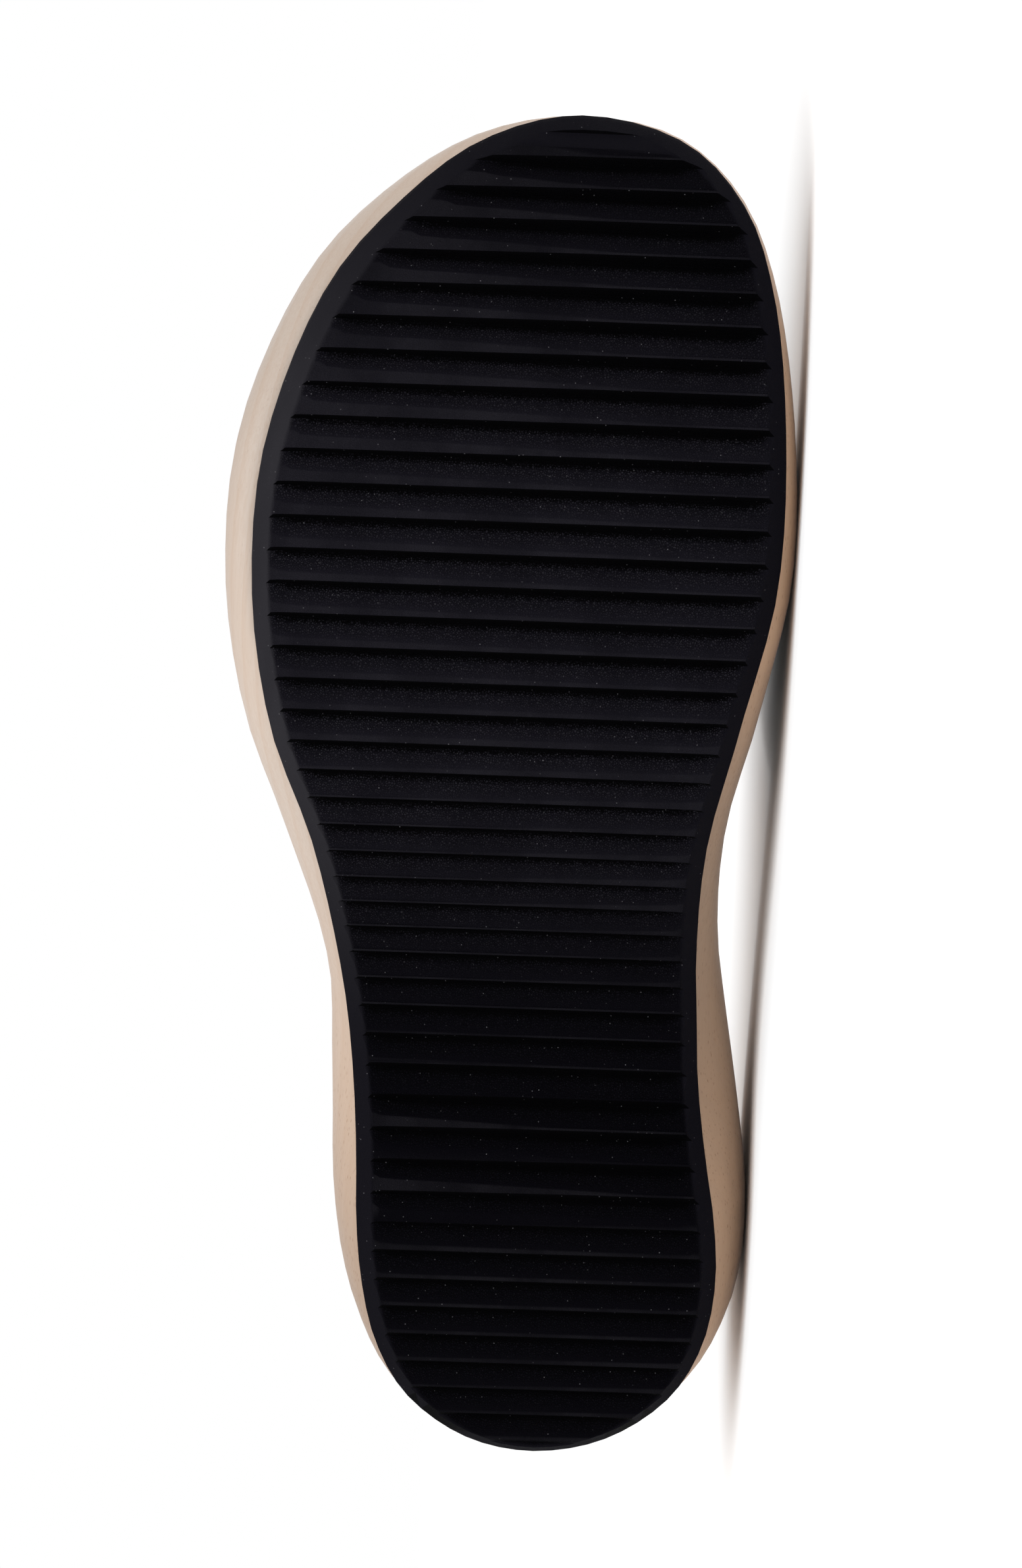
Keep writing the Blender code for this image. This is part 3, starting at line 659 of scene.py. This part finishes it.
spots = []
for rim, inward in ((front_rim, -1), (back_rim, 1)):
    seam = [seam_spot(spot, inward) for spot in filled_in(rim)]
    travelled, due = 0.0, STITCH_CLEAR
    length = sum((b - a).length for a, b in zip(seam, seam[1:]))
    for a, b in zip(seam, seam[1:]):
        travelled += (b - a).length
        if due <= travelled < length - STITCH_CLEAR:
            middle, up = nearest(b)
            middle += up * STITCH_PROUD
            middle.z = max(middle.z, STITCH_WIDE / 2)
            spots.append((middle, b - a, up))
            due += STITCH_PITCH
stitches = copies_on(stitch, "edge_stitches", spots)

thread, tree, shader = new_material("thread")
strands = placed(tree, clouds, Point=place_of(tree), Cell=THREAD_STRAND, Detail=2.0)["Value"]
colour = mixed(tree, strands, THREAD_BLACK, THREAD_SHINE)
rough = ramp(tree, strands, 0.0, 1.0, *THREAD_ROUGH)
finish_with(tree, shader, colour, rough, strands, strength=0.6, distance=THREAD_RELIEF)
stitches.data.materials.append(thread)
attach(stitches, "root")

# Tacks: small nails with flat-domed heads, stamped from brass and a little tarnished. Five in a row are
# driven through each end of the band into the wood of its rabbet, with their skirts sunk in the leather.

TACKS_A_SIDE = 5
TACK_WIDE = 0.0042
TACK_TALL = 0.0003
TACK_SKIRT = 0.00025
TACK_ABOVE_END = 0.0105
TACK_FROM_CORNER = 0.0105
BRASS = (0.52, 0.36, 0.15, 1)
BRASS_DULL = (0.27, 0.185, 0.085, 1)
BRASS_CLOUD = (0.0016,) * 3
BRASS_ROUGH = (0.26, 0.46)
BRASS_RELIEF = 0.00005

bpy.ops.object.select_all(action="DESELECT")
bpy.ops.mesh.primitive_uv_sphere_add(segments=20, ring_count=12, radius=0.5)
tack = bpy.context.object
bpy.ops.object.mode_set(mode="EDIT")
bpy.ops.mesh.select_all(action="SELECT")
bpy.ops.transform.resize(value=(TACK_WIDE, TACK_WIDE, 2 * TACK_TALL))
bpy.ops.object.mode_set(mode="OBJECT")
for vertex in tack.data.vertices:
    if vertex.co.z < TACK_TALL / 100:
        vertex.co.z = -TACK_SKIRT

spots = []
for above in (True, False):
    ends = [spot for spot in end_rim if spot.y < FOOT_LINE.y and (spot.z > FOOT_LINE.z) == above]
    ends.sort(key=lambda spot: spot.x)
    first, last = ends[0].x + TACK_FROM_CORNER, ends[-1].x - TACK_FROM_CORNER
    for k in range(TACKS_A_SIDE):
        x = first + (last - first) * k / (TACKS_A_SIDE - 1)
        behind = max((spot for spot in ends if spot.x <= x), key=lambda spot: spot.x)
        ahead = min((spot for spot in ends if spot.x > x), key=lambda spot: spot.x)
        end = behind.lerp(ahead, (x - behind.x) / (ahead.x - behind.x))
        middle, up = nearest(end + Vector((0, TACK_ABOVE_END, 0)))
        spots.append((middle, Vector((1, 0, 0)), up))
tacks = copies_on(tack, "band_tacks", spots)

brass, tree, shader = new_material("brass")
tarnish = placed(tree, clouds, Point=place_of(tree), Cell=BRASS_CLOUD, Detail=4.0)["Value"]
colour = mixed(tree, tarnish, BRASS, BRASS_DULL)
rough = ramp(tree, tarnish, 0.0, 1.0, *BRASS_ROUGH)
finish_with(tree, shader, colour, rough, tarnish, strength=0.3, distance=BRASS_RELIEF)
shader.inputs["Metallic"].default_value = 1.0
tacks.data.materials.append(brass)
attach(tacks, "root")

# Floor: one wide sheet of pale, matt paper that the sandal lies on. It reaches past the picture on all sides,
# so that no edge of it shows.

FLOOR_SIZE = 40.0
PAPER_WHITE = (0.96, 0.96, 0.962, 1)

bpy.ops.object.select_all(action="DESELECT")
bpy.ops.mesh.primitive_plane_add(size=FLOOR_SIZE, location=(0, 0, 0))
floor = bpy.context.object
floor.name = "floor"
paper, tree, shader = new_material("paper")
shader.inputs["Base Color"].default_value = PAPER_WHITE
shader.inputs["Roughness"].default_value = 0.9
shader.inputs["Specular IOR Level"].default_value = 0.0
floor.data.materials.append(paper)

# Light: a very broad soft light over the outer side and a soft box near the ball of the sole, in a pale
# surround that is darker on the side that the tread faces.

SKY_FROM = Vector((0.1, -0.4, 0.91))
SKY_SPREAD = math.radians(70)
SKY_POWER, BOX_POWER = 2.1, 0.3
BOX_AT = Vector((0.07, -0.30, 0.30))
BOX_AIM = Vector((0.05, -0.05, 0.05))
BOX_SIZE = 0.2
SURROUND_FRONT, SURROUND_BACK = 0.4, 0.68
FRONT_ENDS, BACK_BEGINS = -0.75, 0.2


def lamp(name, kind, power, place, aim, **settings):
    """A light of the studio, turned to what it lights and itself out of sight."""
    data = bpy.data.lights.new(name, kind)
    data.energy = power
    for key, value in settings.items():
        setattr(data, key, value)
    light = bpy.data.objects.new(name, data)
    light.location = place
    light.rotation_euler = (aim - place).to_track_quat("-Z", "Y").to_euler()
    light.visible_camera = False
    bpy.context.collection.objects.link(light)


lamp("sky_light", "SUN", SKY_POWER, SKY_FROM, Vector((0, 0, 0)), angle=SKY_SPREAD)
lamp("soft_box", "AREA", BOX_POWER, BOX_AT, BOX_AIM, shape="SQUARE", size=BOX_SIZE)
sky = bpy.data.worlds.new("surround")
bpy.context.scene.world = sky
sky.use_nodes = True
tree = sky.node_tree
direction = add(tree, "ShaderNodeTexCoord").outputs["Generated"]
front_to_back = add(tree, "ShaderNodeSeparateXYZ", {"Vector": direction}).outputs["Y"]
lit = ramp(tree, front_to_back, FRONT_ENDS, BACK_BEGINS, SURROUND_FRONT, SURROUND_BACK)
seen = add(tree, "ShaderNodeLightPath").outputs["Is Camera Ray"]
strength = add(tree, "ShaderNodeMapRange", {"Value": seen, "To Min": lit, "To Max": 1.0})
tree.nodes["Background"].inputs["Color"].default_value = (1, 1, 1, 1)
tree.links.new(strength.outputs["Result"], tree.nodes["Background"].inputs["Strength"])
bpy.context.scene.view_settings.view_transform = "Standard"

# Camera: a long lens that looks at the sole from the toe side, a little above the floor. It is turned on its
# side, so that the toe is up in the frame.

AIM = Vector((0.0252, -0.0678, 0.04865))
DISTANCE = 0.84
TOE_SIDE = math.radians(24.15)
ABOVE = math.radians(0.855)
ROLL = math.radians(-87.66)
FRAME_PIXELS = 2380
FOCAL_PIXELS = 7407
SENSOR_HEIGHT = 36
NEAREST = 0.01

camera = bpy.data.objects.new("camera", bpy.data.cameras.new("camera"))
bpy.context.collection.objects.link(camera)
away = Vector((math.sin(TOE_SIDE) * math.cos(ABOVE), -math.cos(TOE_SIDE) * math.cos(ABOVE), math.sin(ABOVE)))
level = (-away).to_track_quat("-Z", "Y").to_matrix()
turned = level @ Matrix.Rotation(ROLL, 3, "Z")
camera.matrix_world = Matrix.Translation(AIM + DISTANCE * away) @ turned.to_4x4()
camera.data.sensor_fit = "VERTICAL"
camera.data.sensor_height = SENSOR_HEIGHT
camera.data.lens = camera.data.sensor_height * FOCAL_PIXELS / FRAME_PIXELS
camera.data.clip_start = NEAREST
bpy.context.scene.camera = camera
